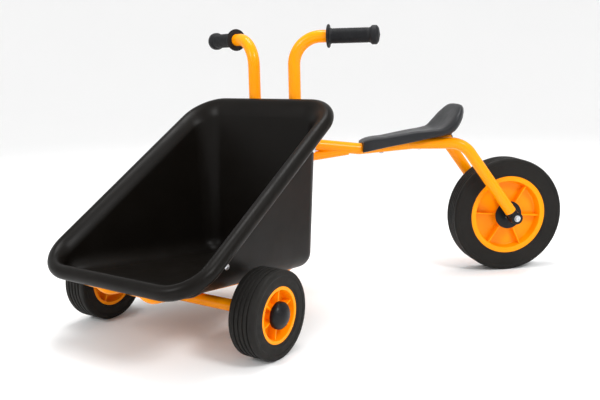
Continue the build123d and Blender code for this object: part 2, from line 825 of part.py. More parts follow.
hub_covers = {}
for name, size in wheel_sizes.items():
    hand = -1 if name == "right" else 1
    covers = (1, -1) if name == "rear" else (-hand,)
    with BuildPart() as hub_cover:
        for way in covers:
            face = size["plane"].offset(way * rim_half)
            with BuildSketch(face):
                Circle(size["cap"])
                Circle(cover_hole, mode=Mode.SUBTRACT)
            extrude(amount=way * cover_thickness)
            with BuildSketch(face):
                Circle(hub_radius + cover_thickness)
                Circle(hub_radius + 0.1, mode=Mode.SUBTRACT)
            extrude(amount=-way * cover_grip)
    hub_covers[name] = hub_cover

hubcaps = {}
for name in ("left", "right"):
    hand = -1 if name == "right" else 1
    size = wheel_sizes[name]
    centre = size["plane"].offset(hand * (rim_half - cover_grip))
    section = Plane(origin=centre.origin, x_dir=centre.z_dir * hand, z_dir=-centre.y_dir * hand)
    cap = size["cap"]
    dome_radius = (cap**2 + cap_rise**2) / (2 * cap_rise)
    dome_centre = cap_skirt + cap_rise - dome_radius
    dome_half = asin(cap / dome_radius) / 2
    inner_radius = dome_radius - cap_wall
    dome_middle = (dome_centre + dome_radius * cos(dome_half), dome_radius * sin(dome_half))
    inner_middle = (dome_centre + inner_radius * cos(dome_half), inner_radius * sin(dome_half))
    inner_edge = (cap_skirt, sqrt(inner_radius**2 - (cap_skirt - dome_centre) ** 2))
    with BuildPart() as hubcap:
        with BuildSketch(section):
            with BuildLine():
                Line((0, hub_radius + 0.1), (0, cap))
                Line((0, cap), (cap_skirt, cap))
                ThreePointArc((cap_skirt, cap), dome_middle, (dome_centre + dome_radius, 0))
                Line((dome_centre + dome_radius, 0), (dome_centre + dome_radius - cap_wall, 0))
                ThreePointArc((dome_centre + dome_radius - cap_wall, 0), inner_middle, inner_edge)
                Line(inner_edge, (cap_skirt, hub_radius + 0.1))
                Line((cap_skirt, hub_radius + 0.1), (0, hub_radius + 0.1))
            make_face()
        revolve(axis=Axis(centre.origin, centre.z_dir))
    hubcaps[name] = hubcap

# ---- what stands still inside the wheels -----------------------------------------------------------
bearing_inners = {}
for name, hubs in (("rear", ("rear",)), ("front", ("left", "right"))):
    with BuildPart() as bearing_inner:
        for hub in hubs:
            size = wheel_sizes[hub]
            for face in (rim_half - size["race_width"], -rim_half):
                with BuildSketch(size["plane"].offset(face)):
                    Circle(size["bore"] + 2.1)
                    Circle(size["bore"], mode=Mode.SUBTRACT)
                extrude(amount=size["race_width"])
    bearing_inners[name] = bearing_inner

inner_spacers = {}
for name, hubs in (("rear", ("rear",)), ("front", ("left", "right"))):
    with BuildPart() as inner_spacer:
        for hub in hubs:
            size = wheel_sizes[hub]
            gap = rim_half - size["race_width"]
            with BuildSketch(size["plane"].offset(-gap)):
                Circle(size["bore"] + 1.8)
                Circle(size["bore"], mode=Mode.SUBTRACT)
            extrude(amount=2 * gap)
    inner_spacers[name] = inner_spacer

rear_plane = wheel_sizes["rear"]["plane"]
eye_inside = fork_half - eye_width / 2
eye_outside = fork_half + eye_width / 2
with BuildPart() as rear_axle_spacers:
    for way in (1, -1):
        with BuildSketch(rear_plane.offset(way * rim_half)):
            Circle(rear_bolt_radius + 3)
            Circle(rear_bolt_radius, mode=Mode.SUBTRACT)
        extrude(amount=way * (eye_inside - rim_half))

with BuildPart() as rear_axle_washers:
    for way in (1, -1):
        with BuildSketch(rear_plane.offset(way * eye_outside)):
            Circle(2 * rear_bolt_radius)
            Circle(rear_bolt_radius, mode=Mode.SUBTRACT)
        extrude(amount=way * washer_thickness)

with BuildPart() as rear_axle_bolt:
    with BuildSketch(rear_plane.offset(-eye_outside - washer_thickness - 8)):
        Circle(rear_bolt_radius)
    extrude(amount=2 * eye_outside + 2 * washer_thickness + 8)
    with BuildSketch(rear_plane.offset(eye_outside + washer_thickness)):
        Circle(1.7 * rear_bolt_radius)
    extrude(amount=rear_bolt_radius, taper=18)
    with BuildSketch(rear_plane.offset(eye_outside + washer_thickness + rear_bolt_radius)):
        RegularPolygon(0.65 * rear_bolt_radius, 6)
    extrude(amount=-0.6 * rear_bolt_radius, mode=Mode.SUBTRACT)

with BuildPart() as rear_axle_nut:
    with BuildSketch(rear_plane.offset(-eye_outside - washer_thickness)):
        RegularPolygon(1.85 * rear_bolt_radius, 6)
        Circle(rear_bolt_radius, mode=Mode.SUBTRACT)
    extrude(amount=-6.5)

with BuildPart() as front_axle_spacers:
    for hub, hand in (("left", 1), ("right", -1)):
        with BuildSketch(wheel_sizes[hub]["plane"].offset(-hand * rim_half)):
            Circle(front_rod_radius + 2)
            Circle(front_rod_radius, mode=Mode.SUBTRACT)
        extrude(amount=-hand * (half_track - rim_half - axle_tube_half))

with BuildPart() as axle_retainers:
    for hub, hand in (("left", 1), ("right", -1)):
        with BuildSketch(wheel_sizes[hub]["plane"].offset(hand * rim_half)):
            Circle(front_rod_radius + 2.5)
            Circle(front_rod_radius, mode=Mode.SUBTRACT)
        extrude(amount=hand * retainer_width)

# ============================================================================================
# Files
# ============================================================================================
pieces = {
    "head_tube": head_tube,
    "main_tube": main_tube,
    "main_tube_plug": main_tube_plug,
    "brace_tube": brace_tube,
    "saddle": saddle,
    "saddle_bolts": saddle_bolts,
    "rear_axle_bolt": rear_axle_bolt,
    "rear_axle_nut": rear_axle_nut,
    "rear_axle_washers": rear_axle_washers,
    "rear_axle_spacers": rear_axle_spacers,
    "upper_cross_plate": cross_plates["upper"],
    "lower_cross_plate": cross_plates["lower"],
    "stop_pins": stop_pins,
    "steering_bolt": steering_bolt,
    "steering_nut": steering_nut,
    "steering_washers": steering_washers,
    "axle_tube": axle_tube,
    "axle_rod": axle_rod,
    "axle_retainers": axle_retainers,
    "front_axle_spacers": front_axle_spacers,
    "tub": tub,
    "floor_bolts": floor_bolts,
    "floor_nuts": floor_nuts,
    "floor_washers": floor_washers,
    "rim_screws": rim_screws,
}
for name in ("upper", "lower"):
    pieces[name + "_head_bush"] = head_bushes[name]
for name in ("left", "right"):
    pieces[name + "_fork_tube"] = fork_tubes[name]
    pieces[name + "_fork_insert"] = fork_inserts[name]
    pieces[name + "_handlebar_tube"] = bar_tubes[name]
    pieces[name + "_nose_plug"] = bar_plugs[name]
    pieces[name + "_grip"] = bar_grips[name]
    pieces[name + "_hubcap"] = hubcaps[name]
for name in ("rear", "front"):
    pieces[name + "_bearing_inners"] = bearing_inners[name]
    pieces[name + "_bearing_spacers"] = inner_spacers[name]
for name in ("rear", "left", "right"):
    wheel = name if name == "rear" else name + "_front"
    pieces[wheel + "_tyre"] = tyres[name]
    pieces[wheel + "_rim"] = rims[name]
    pieces[wheel + "_hub_cover"] = hub_covers[name]
    pieces[wheel + "_bearing_outers"] = bearing_outers[name]
    pieces[wheel + "_bearing_balls"] = bearing_balls[name]

for name, piece in pieces.items():
    piece.part.label = name
    export_step(piece.part, f"parts/{name}.step")
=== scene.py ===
"""Looks of a push tricycle with a scoop-shaped load tub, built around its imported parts.

Shapes are worked out in millimetres as whole arrays, and become metres when a piece is made.
The front frame's own directions are AHEAD, LEFT and UP; the rear frame lies along Y.
"""

from math import atan, cos, pi, radians, sin, tan

import bpy
import numpy as np
from mathutils import Matrix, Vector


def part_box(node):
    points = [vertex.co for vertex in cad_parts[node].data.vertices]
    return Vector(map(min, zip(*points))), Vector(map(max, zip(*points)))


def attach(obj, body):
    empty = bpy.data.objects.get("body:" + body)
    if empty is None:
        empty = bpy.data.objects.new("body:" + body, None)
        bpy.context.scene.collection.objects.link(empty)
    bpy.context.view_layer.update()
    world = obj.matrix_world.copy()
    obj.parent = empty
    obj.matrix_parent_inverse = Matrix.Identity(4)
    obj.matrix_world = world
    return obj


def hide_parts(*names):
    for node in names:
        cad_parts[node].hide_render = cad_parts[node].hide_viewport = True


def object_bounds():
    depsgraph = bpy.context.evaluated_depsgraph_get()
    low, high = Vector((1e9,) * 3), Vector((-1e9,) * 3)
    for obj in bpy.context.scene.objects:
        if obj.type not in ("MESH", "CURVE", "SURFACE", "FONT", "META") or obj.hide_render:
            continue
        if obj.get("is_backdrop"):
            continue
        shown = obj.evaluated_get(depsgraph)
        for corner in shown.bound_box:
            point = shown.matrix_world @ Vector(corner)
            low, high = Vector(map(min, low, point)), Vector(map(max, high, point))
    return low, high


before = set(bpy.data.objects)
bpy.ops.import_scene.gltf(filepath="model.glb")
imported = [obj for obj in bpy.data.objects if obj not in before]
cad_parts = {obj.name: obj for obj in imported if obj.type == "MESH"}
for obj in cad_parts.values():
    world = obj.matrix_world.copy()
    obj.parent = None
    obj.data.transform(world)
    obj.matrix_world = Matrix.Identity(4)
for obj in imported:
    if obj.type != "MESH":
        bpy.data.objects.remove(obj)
cad_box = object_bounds()

MM = 0.001
UP = np.array([0.0, 0.0, 1.0])
ACROSS = np.array([1.0, 0.0, 0.0])


# ---- places read from the frame --------------------------------------------------------------
def middle(node):
    """Centre of a CAD node's box, in millimetres."""
    low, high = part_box(node)
    return (np.array(low) + np.array(high)) / (2 * MM)


def unit(v):
    """Vectors scaled to length one, along the last axis."""
    return v / np.linalg.norm(v, axis=-1, keepdims=True)


rear_hub = middle("rear_tyre")
left_hub = middle("left_front_tyre")
right_hub = middle("right_front_tyre")
pivot = middle("head_tube") * (1, 1, 0)
LEFT = unit(left_hub - right_hub)
AHEAD = np.cross(LEFT, UP)


def steered(ahead, left, up):
    """Points of the front frame: pivot + ahead * AHEAD + left * LEFT + up * UP, over whole arrays."""
    parts = (np.asarray(value, float)[..., None] for value in (ahead, left, up))
    ahead, left, up = np.broadcast_arrays(*parts)
    return pivot + ahead * AHEAD + left * LEFT + up * UP


def trailed(left, back, up):
    """Points of the rear frame: left along X and back along Y from the pivot, over whole arrays."""
    parts = (np.asarray(value, float)[..., None] for value in (left, back, up))
    left, back, up = np.broadcast_arrays(*parts)
    return pivot + np.concatenate([left, back, up], axis=-1)


# ---- surfaces --------------------------------------------------------------------------------
def shell(rings, looped=False):
    """Closed surface through a stack of rings, an array of (ring, point, xyz).

    Each quad joins a point to the next one round its ring and to the same two on the next ring.
    The last ring joins the first when looped, or else both end rings close on their mean point.
    The faces are turned over when the sum of p0 . (p1 x p2) over the triangles is negative.
    """
    count, around, _ = rings.shape
    rows = np.arange(count if looped else count - 1)[:, None]
    cols = np.arange(around)[None, :]
    here, there = rows * around, (rows + 1) % count * around
    after = (cols + 1) % around
    quads = np.stack([here + cols, here + after, there + after, there + cols], -1).reshape(-1, 4)
    points = rings.reshape(-1, 3)
    fans = np.zeros((0, 3), int)
    if not looped:
        total = count * around
        points = np.vstack([points, rings[0].mean(0), rings[-1].mean(0)])
        ring, onward = np.arange(around), (np.arange(around) + 1) % around
        last = total - around
        first_fan = np.stack([np.full(around, total), onward, ring], -1)
        last_fan = np.stack([np.full(around, total + 1), last + ring, last + onward], -1)
        fans = np.vstack([first_fan, last_fan])
    triangles = np.vstack([quads[:, :3], quads[:, [0, 2, 3]], fans])
    p0, p1, p2 = (points[triangles[:, i]] - points.mean(0) for i in range(3))
    if (p0 * np.cross(p1, p2)).sum() < 0:
        quads, fans = quads[:, ::-1], fans[:, ::-1]
    return points, quads, fans


def piece(name, shells, material, body, stands_for=(), sharp=38):
    """A mesh of one or more closed shells that rides on a body. Edges over sharp degrees stay crisp."""
    points, faces, start = [], [], 0
    for shell_points, quads, fans in shells:
        points.append(shell_points)
        faces += (quads + start).tolist() + (fans + start).tolist()
        start += len(shell_points)
    mesh = bpy.data.meshes.new(name)
    mesh.from_pydata((np.vstack(points) * MM).tolist(), [], faces)
    mesh.polygons.foreach_set("use_smooth", np.ones(len(mesh.polygons), bool))
    mesh.set_sharp_from_angle(angle=radians(sharp))
    mesh.materials.append(material)
    mesh.update()
    made = bpy.data.objects.new(name, mesh)
    bpy.context.scene.collection.objects.link(made)
    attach(made, body)
    if stands_for:
        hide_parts(*stands_for)
    return made


def rounded(corners, radii, steps=6, looped=False):
    """A line of straight runs whose corners are arcs tangent to both runs.

    With unit vectors a and b from the corner to its neighbours and h half the angle between them,
    the arc's centre is (a + b) / |a + b| * radius / sin h away and it touches at radius / tan h.
    Points between its two ends are the spherical blend of the two spokes.
    """
    corners = np.asarray(corners, float)
    radii = np.broadcast_to(radii, len(corners))
    out = []
    for i, (corner, radius) in enumerate(zip(corners, radii)):
        if radius == 0 or (not looped and i in (0, len(corners) - 1)):
            out.append(corner[None])
            continue
        back, on = corners[i - 1] - corner, corners[(i + 1) % len(corners)] - corner
        a, b = unit(back), unit(on)
        half = np.arccos(np.clip(a @ b, -1, 1)) / 2
        if half > pi / 2 - 0.01:
            out.append(corner[None])
            continue
        touch = min(radius / tan(half), 0.49 * np.linalg.norm(back), 0.49 * np.linalg.norm(on))
        radius = touch * tan(half)
        centre = corner + unit(a + b) * radius / sin(half)
        first, last = corner + a * touch - centre, corner + b * touch - centre
        sweep = pi - 2 * half
        share = np.linspace(0, 1, steps + 1)[:, None]
        blend = first * np.sin((1 - share) * sweep) + last * np.sin(share * sweep)
        out.append(centre + blend / sin(sweep))
    return np.vstack(out)


def turned(profile, hub, axle, count=96):
    """A closed profile of (along the axle, radius) turned about it.

    A point is hub + along * axle + radius * spoke, where spoke goes once round square to the axle.
    """
    spoke = unit(np.cross(axle, UP))
    angle = np.linspace(0, 2 * pi, count, endpoint=False)[:, None]
    ring = np.cos(angle) * spoke + np.sin(angle) * np.cross(axle, spoke)
    along, radius = profile[:, 0, None, None], profile[:, 1, None, None]
    return shell(hub + along * axle + radius * ring, looped=True)


def round_section(path, radius, count=40):
    """Rings of a radius about a path: path + radius * (cos t * side + sin t * upright).

    side is the path's direction crossed with one fixed slanting vector, and upright is the
    direction crossed with side.
    """
    direction = unit(np.gradient(path, axis=0))
    side = unit(np.cross(direction, unit(np.array([0.31, 0.17, 0.11]) - direction[0] * 0.05)))
    upright = np.cross(direction, side)
    angle = np.linspace(0, 2 * pi, count, endpoint=False)[:, None]
    radius = np.broadcast_to(radius, len(path))[:, None, None]
    return path[:, None] + radius * (np.cos(angle) * side[:, None] + np.sin(angle) * upright[:, None])


def pipe(path, radius, wall):
    """A tube with open ends: rings of the outer radius along the path, then the inner ones back."""
    outer, inner = round_section(path, radius), round_section(path, radius - wall)
    return shell(np.concatenate([outer, inner[::-1]]), looped=True)


def along_curve(stations, values, at):
    """Smooth values between stations: cubic pieces whose slopes are the central differences."""
    stations, values = np.asarray(stations, float), np.asarray(values, float)
    slope = np.gradient(values, stations, axis=0)
    i = np.clip(np.searchsorted(stations, at) - 1, 0, len(stations) - 2)
    width = stations[i + 1] - stations[i]
    t = (at - stations[i]) / width
    shape = (-1,) + (1,) * (values.ndim - 1)
    t, width = t.reshape(shape), width.reshape(shape)
    return (
        (2 * t**3 - 3 * t**2 + 1) * values[i]
        + (t**3 - 2 * t**2 + t) * width * slope[i]
        + (3 * t**2 - 2 * t**3) * values[i + 1]
        + (t**3 - t**2) * width * slope[i + 1]
    )


# ---- materials -------------------------------------------------------------------------------
def linear(code):
    """sRGB hex to linear RGBA: c / 12.92 below 0.04045, or else ((c + 0.055) / 1.055) ** 2.4."""
    c = np.array([int(code[i : i + 2], 16) for i in (1, 3, 5)]) / 255
    return (*np.where(c <= 0.04045, c / 12.92, ((c + 0.055) / 1.055) ** 2.4), 1.0)


def add(tree, kind, settings=(), links=()):
    """Adds one node.

    A setting is a property's name or an input's name or number, and a link feeds an input.
    """
    made = tree.nodes.new("ShaderNode" + kind)
    for key, value in dict(settings).items():
        if isinstance(key, int) or key in made.inputs:
            made.inputs[key].default_value = value
        else:
            setattr(made, key, value)
    for key, source in dict(links).items():
        tree.links.new(source, made.inputs[key])
    return made


def finish(name, colours, cloud, rough, bumps, shader=()):
    """A surface made from clouds of noise on object coordinates.

    colours are the two it drifts between over clouds of cloud millimetres, and rough its least and
    most roughness over clouds a third of that. Each bump is (size in mm, height in mm, share).
    """
    material = bpy.data.materials.new(name)
    material.use_nodes = True
    tree = material.node_tree
    tree.nodes.clear()
    place = add(tree, "TexCoord").outputs["Object"]
    drift = add(tree, "TexNoise", {"Scale": 1000 / cloud, "Detail": 3.0}, {"Vector": place})
    tint = add(
        tree,
        "Mix",
        {"data_type": "RGBA", 6: linear(colours[0]), 7: linear(colours[1])},
        {0: drift.outputs["Fac"]},
    )
    patches = add(tree, "TexNoise", {"Scale": 3000 / cloud, "Detail": 5.0}, {"Vector": place})
    dull = add(
        tree,
        "MapRange",
        {"From Min": 0.3, "From Max": 0.7, "To Min": rough[0], "To Max": rough[1]},
        {"Value": patches.outputs["Fac"]},
    )
    links = {"Base Color": tint.outputs[2], "Roughness": dull.outputs["Result"]}
    normal = None
    for size, height, share in bumps:
        grain = add(tree, "TexNoise", {"Scale": 1000 / size, "Detail": 2.0}, {"Vector": place})
        relief = add(
            tree,
            "Bump",
            {"Strength": share, "Distance": height * MM},
            {"Height": grain.outputs["Fac"], **({"Normal": normal} if normal else {})},
        )
        normal = relief.outputs["Normal"]
    if normal:
        links["Normal"] = normal
    surface = add(tree, "BsdfPrincipled", shader, links)
    add(tree, "OutputMaterial", (), {"Surface": surface.outputs["BSDF"]})
    return material


# Polyester powder coat, baked: glossy, with the slow waves of orange peel about 3 mm apart.
powder_coat = finish(
    "baked_powder_coat", ("#FF9B00", "#F69200"), 90, (0.15, 0.23), [(3.0, 0.05, 0.3)],
    {"Specular IOR Level": 0.15, "Coat Weight": 0.08, "Coat Roughness": 0.05},
)
# Rotomoulded polyethylene: satin black with a waxy sheen and a fine mould grain.
tub_polyethylene = finish(
    "rotomoulded_polyethylene", ("#0B0907", "#120F0C"), 140, (0.32, 0.44),
    [(1.6, 0.06, 0.3), (26.0, 0.5, 0.2)], {"Specular IOR Level": 0.11},
)
# Integral-skin polyurethane: dark grey with a soft moulded skin.
saddle_skin = finish(
    "integral_skin_polyurethane", ("#1E1F21", "#26272A"), 60, (0.34, 0.44),
    [(1.2, 0.05, 0.35), (14.0, 0.3, 0.2)], {"Specular IOR Level": 0.22},
)
# Moulded thermoplastic rubber: matt black that shows dust in its ribs.
grip_rubber = finish(
    "moulded_thermoplastic_rubber", ("#141416", "#1D1E20"), 25, (0.50, 0.62), [(0.9, 0.06, 0.5)],
    {"Specular IOR Level": 0.2},
)
# Vulcanised solid rubber: matt, slightly brown-grey, with mould flow clouds on the walls.
tyre_rubber = finish(
    "vulcanised_solid_rubber", ("#151412", "#201E1C"), 35, (0.55, 0.70),
    [(1.4, 0.09, 0.5), (9.0, 0.25, 0.25)], {"Specular IOR Level": 0.15},
)
# Injection-moulded polypropylene, coloured through: semi-gloss with faint flow clouds.
wheel_plastic = finish(
    "moulded_orange_polypropylene", ("#FF9300", "#FF9B00"), 50, (0.30, 0.38), [(2.0, 0.03, 0.3)],
    {"Specular IOR Level": 0.14},
)
# Glass-filled nylon, moulded: black with a tight satin grain.
black_nylon = finish(
    "moulded_black_nylon", ("#0B0B0C", "#131316"), 20, (0.30, 0.42), [(0.8, 0.03, 0.4)],
    {"Specular IOR Level": 0.2},
)
# Natural nylon, turned: off-white and waxy.
bush_nylon = finish("turned_natural_nylon", ("#D9D3C2", "#E6E1D4"), 15, (0.35, 0.45), [(0.7, 0.02, 0.3)])
# Ground bearing steel: bright and nearly smooth.
bearing_steel = finish(
    "ground_bearing_steel", ("#B9BBBD", "#C9CBCD"), 12, (0.14, 0.24), [(0.6, 0.008, 0.3)],
    {"Metallic": 1.0},
)
# Zinc plate on steel: silver with a faint blue passivation.
zinc_plate = finish(
    "zinc_plated_steel", ("#C3C6CA", "#D5D7D9"), 10, (0.24, 0.38), [(0.8, 0.015, 0.35)],
    {"Metallic": 1.0},
)

slot_finishes = {
    "powder_coat": powder_coat,
    "tub_polyethylene": tub_polyethylene,
    "saddle_plastic": saddle_skin,
    "grip_rubber": grip_rubber,
    "solid_rubber_tyre": tyre_rubber,
    "wheel_plastic": wheel_plastic,
    "black_nylon": black_nylon,
    "bush_nylon": bush_nylon,
    "bearing_steel": bearing_steel,
    "zinc_steel": zinc_plate,
}

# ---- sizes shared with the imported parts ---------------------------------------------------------
tube_radius = 14.0
brace_radius = 11.0
axle_tube_radius = 12.0
tube_wall = 2.0
bar_ahead = 59.0            # steering axis to the handlebar tubes
bar_half = 57.0             # centre plane to the centre line of each handlebar tube
grip_height = 598.0
grip_sweep = radians(22.0)
grip_end = 233.0
grip_length = 112.0
bar_bend = 62.0
nose_reach = 137.0          # front axle to the corner of the under-tube's nose
nose_rise = 52.0
nose_bend = 42.0
floor_tilt = radians(6.6)
seat_gap = 0.5              # between the under-tubes and the tub's floor
floor_screw_backs = (191.0, -95.6)
wall_draft = tan(radians(3.0))
draft_base = 60.0           # height at which the tub's foot loop lies
tub_wall = 4.0
tub_back = 111.0            # steering axis to the outside of the back wall, near its top
tub_reach = 165.0           # front axle to the outside of the front wall
tub_back_half = 150.0       # half width outside at the back, at the axle's height
tub_front_half = 172.0
tub_corner = 36.0
mouth_top = 447.0           # height of the rim's centre line at the back
lip_height = 160.0          # and at the front
rim_bead = 15.0
rim_overhang = 20.0
rim_corner = 70.0
main_bend_back = 172.0      # steering axis to the bend of the main tube
main_bend_up = 329.0
main_rear_back = 408.0
main_rear_up = 342.0
fork_half = 62.0
fork_top = 340.0
fork_fall = 1.385           # fall over run of the straight part of a fork leg
fork_bend = 55.0
fork_stop = 20.0            # axle to the end of a fork leg
saddle_screw_backs = (228.0, 326.0)

axle_ahead = (left_hub - pivot) @ AHEAD
axle_up = left_hub[2]
tub_front = axle_ahead + tub_reach
rim_back = tub_back - rim_overhang
rim_front = tub_front + rim_bead - 2.0
mouth_fall = (mouth_top - lip_height) / (rim_front - rim_back)
mouth_tilt = atan(mouth_fall)
rim_span = (rim_front - rim_back) / cos(mouth_tilt)
floor_at_axle = axle_up + axle_tube_radius + (2 * tube_radius + seat_gap) / cos(floor_tilt)

# ---- tub -------------------------------------------------------------------------------------
outer_fillet = 36.0         # between the tub's floor and walls, outside
inner_fillet = 32.0
foot_back = tub_back + wall_draft * (mouth_top - draft_base)
foot_front = tub_front - wall_draft * (mouth_top - mouth_fall * (tub_front - rim_back) - draft_base)
foot_narrowing = wall_draft * (axle_up - draft_base)
tub_foot = [
    (foot_back, foot_narrowing - tub_back_half),
    (foot_front, foot_narrowing - tub_front_half),
    (foot_front, tub_front_half - foot_narrowing),
    (foot_back, tub_back_half - foot_narrowing),
]


def loop_of(corners, radius, straight=26, bend=18):
    """A four-cornered loop with round corners, and its outward normals.

    Every loop has the same points in the same order: each straight side is cut in equal steps and
    each corner arc in equal angles, so loops of different sizes match point for point.
    """
    corners = np.asarray(corners, float)
    points, normals = [], []
    for i in range(4):
        corner = corners[i]
        a, b = unit(corners[i - 1] - corner), unit(corners[(i + 1) % 4] - corner)
        half = np.arccos(a @ b) / 2
        centre = corner + unit(a + b) * radius / sin(half)
        first = unit(corner + a * radius / tan(half) - centre)
        last = unit(corner + b * radius / tan(half) - centre)
        share = np.linspace(0, 1, bend + 1)[:, None]
        sweep = pi - 2 * half
        blend = first * np.sin((1 - share) * sweep) + last * np.sin(share * sweep)
        spoke = blend / sin(sweep)
        points.append(centre + radius * spoke)
        normals.append(spoke)
    out, out_normals = [], []
    for i in range(4):
        share = np.linspace(0, 1, straight + 1)[1:-1, None]
        run = points[i][-1] * (1 - share) + points[(i + 1) % 4][0] * share
        out += [points[i], run]
        out_normals += [normals[i], np.repeat(normals[i][-1:], len(run), axis=0)]
    return np.vstack(out), np.vstack(out_normals)


foot, foot_out = loop_of(tub_foot, tub_corner)


def wall_ring(level, inset):
    """The wall's loop where each upright line meets a slanting plane.

    The plane is height = level[0] + level[1] * ahead.
    A line starts on the foot loop drawn in by inset, and leans outward by the draft per unit of height:
    ahead = a0 + out * draft * (height - base), which is put into the plane's formula and solved.
    """
    start = foot - foot_out * inset
    lean = foot_out[:, 0] * wall_draft
    height = (level[0] + level[1] * (start[:, 0] - lean * draft_base)) / (1 - level[1] * lean)
    plan = start + foot_out * (wall_draft * (height - draft_base))[:, None]
    return np.column_stack([plan, height])


def tub_side(inset, fillet_radius, floor_lift, top_gap):
    """Rings of one side of the tub's wall, from its floor's middle, round the fillet and up the wall.

    The fillet is a quarter turn between the floor's outward direction and the wall's upward one, and
    is no larger than most of the wall's height there.
    """
    floor_level = (floor_at_axle + floor_lift - tan(floor_tilt) * axle_ahead, tan(floor_tilt))
    mouth_level = (mouth_top + mouth_fall * rim_back, -mouth_fall)
    low, high = wall_ring(floor_level, inset), wall_ring(mouth_level, inset)
    rise = (high - low)[:, 2:]
    upward = unit(high - low)
    outward = np.column_stack([foot_out, foot_out[:, 0] * tan(floor_tilt)])
    bend = np.minimum(fillet_radius, 0.5 * rise)
    turn = np.linspace(0, pi / 2, 9)[:, None, None]
    fillet = low + bend * ((np.sin(turn) - 1) * outward + (1 - np.cos(turn)) * upward)
    centre = low.mean(0)
    share = np.linspace(0.02, 0.98, 9)[:, None, None]
    floor_rings = centre + (fillet[0] - centre) * share
    reach = np.linspace(0, 1, 22)[1:, None, None]
    top = high - upward * top_gap
    walls = fillet[-1] + (top - fillet[-1]) * reach
    return np.concatenate([floor_rings, fillet, walls]), upward


rim_back_half = tub_back_half + wall_draft * (mouth_top - axle_up) + rim_overhang
rim_front_half = tub_front_half + wall_draft * (lip_height - axle_up) + rim_overhang
rim_corners = [
    (0.0, -rim_back_half),
    (-rim_span, -rim_front_half),
    (-rim_span, rim_front_half),
    (0.0, rim_back_half),
]
rim_loop, rim_out = loop_of(rim_corners, rim_corner)


def rim_ring(out, lift):
    """The rim's loop in the slanting mouth, moved outward in its plane and lifted square to it."""
    moved = rim_loop + rim_out * out
    ahead = rim_back - moved[:, 0] * cos(mouth_tilt) + lift * sin(mouth_tilt)
    height = mouth_top + moved[:, 0] * sin(mouth_tilt) + lift * cos(mouth_tilt)
    return np.column_stack([ahead, moved[:, 1], height])


def eased(start, start_way, end, end_way, count):
    """Rings between two rings on cubic curves that leave and arrive along the given directions."""
    t = np.linspace(0, 1, count + 2)[1:-1, None, None]
    return (
        (2 * t**3 - 3 * t**2 + 1) * start
        + (t**3 - 2 * t**2 + t) * start_way
        + (3 * t**2 - 2 * t**3) * end
        + (t**3 - t**2) * end_way
    )


def tub_shell():
    """The whole tub as one closed surface.

    It runs up the outside, under the rim, round the bead as a circle of rim_bead about the rim's
    loop, and down the inside, with cubic rings where the walls meet the bead.
    """
    outside, out_up = tub_side(0.0, outer_fillet, 0.0, 12.0)
    inside, in_up = tub_side(tub_wall, inner_fillet, tub_wall / cos(floor_tilt), 13.0)
    turn = np.linspace(radians(-140), radians(82), 26)
    bead = np.stack([rim_ring(rim_bead * cos(t), rim_bead * sin(t)) for t in turn])
    bead_start, bead_end = 3 * (bead[1] - bead[0]), 4 * (bead[-1] - bead[-2])
    under = eased(outside[-1], out_up * 10, bead[0], bead_start * 2.0, 6)
    over = eased(bead[-1], bead_end * 4.0, inside[-1], in_up * -26, 12)
    rings = np.concatenate([outside, under, bead, over, inside[::-1]])
    return shell(steered(rings[..., 0], rings[..., 1], rings[..., 2]))


piece("scoop_tub", [tub_shell()], tub_polyethylene, "front_frame", ["tub"], 60)


# ---- tubes of the front frame ------------------------------------------------------------------
grip_run = (grip_end - bar_half) / cos(grip_sweep)
grip_cover = 2.0            # how far the grip's end stands past its tube
nose_ahead = axle_ahead + nose_reach


def under_height(ahead):
    """Height of the under-tubes' centre line, which rests on the axle tube."""
    over_axle = axle_up + axle_tube_radius + tube_radius / cos(floor_tilt)
    return over_axle + tan(floor_tilt) * (ahead - axle_ahead)


def handlebar_shell(hand):
    """A bent tube from nose to grip, whose nose is cut flat by the underside of the tub's floor."""
    tube_run = grip_run - grip_cover
    corners = [
        (nose_ahead + 0.75 * nose_rise, bar_half * hand, under_height(nose_ahead) + nose_rise),
        (nose_ahead, bar_half * hand, under_height(nose_ahead)),
        (bar_ahead, bar_half * hand, under_height(bar_ahead)),
        (bar_ahead, bar_half * hand, grip_height),
        (
            bar_ahead - tube_run * sin(grip_sweep),
            hand * (bar_half + tube_run * cos(grip_sweep)),
            grip_height,
        ),
    ]
    path = rounded(corners, (0, nose_bend, bar_bend, bar_bend, 0), steps=24)
    rings = round_section(steered(*path.T), tube_radius)
    ahead = (rings - pivot) @ AHEAD
    floor_under = under_height(ahead) + tube_radius / cos(floor_tilt)
    below_tub = ahead > bar_ahead + 90.0
    rings[..., 2] = np.where(below_tub, np.minimum(rings[..., 2], floor_under), rings[..., 2])
    return shell(rings)


def grip_shell(hand):
    """A grip turned about its tube: a thin flange, ribs 2.6 mm apart and a rounded knob."""
    out = -AHEAD * sin(grip_sweep) + LEFT * hand * cos(grip_sweep)
    tip_ahead = bar_ahead - grip_run * sin(grip_sweep)
    tip_left = hand * (bar_half + grip_run * cos(grip_sweep))
    tip = steered(tip_ahead, tip_left, grip_height)
    body, bore = 16.0, tube_radius + 0.05
    ribs = np.arange(12.0, 88.0, 2.6)
    rib_along = np.repeat(ribs, 4) + np.tile([0, 0.5, 1.5, 2.0], len(ribs))
    rib_radius = body + np.tile([0, 0.75, 0.75, 0], len(ribs))
    flange = rounded(
        [(0, bore), (0, 26), (4.2, 26), (5.2, 18.2), (11.5, body)], (0, 1.9, 1.9, 2.5, 0)
    )
    knob = rounded(
        [(88.5, body), (95.0, 16.6), (99.0, 20.9), (109.5, 20.9), (114.0, 15.0), (116.8, 0.4)],
        (0, 5.0, 3.5, 4.0, 8.0, 0),
    )
    inside = np.array([(grip_length, 0.4), (grip_length, bore)])
    profile = np.vstack([flange, np.column_stack([rib_along, rib_radius]), knob, inside])
    return turned(profile, tip - out * grip_length, out, 72)


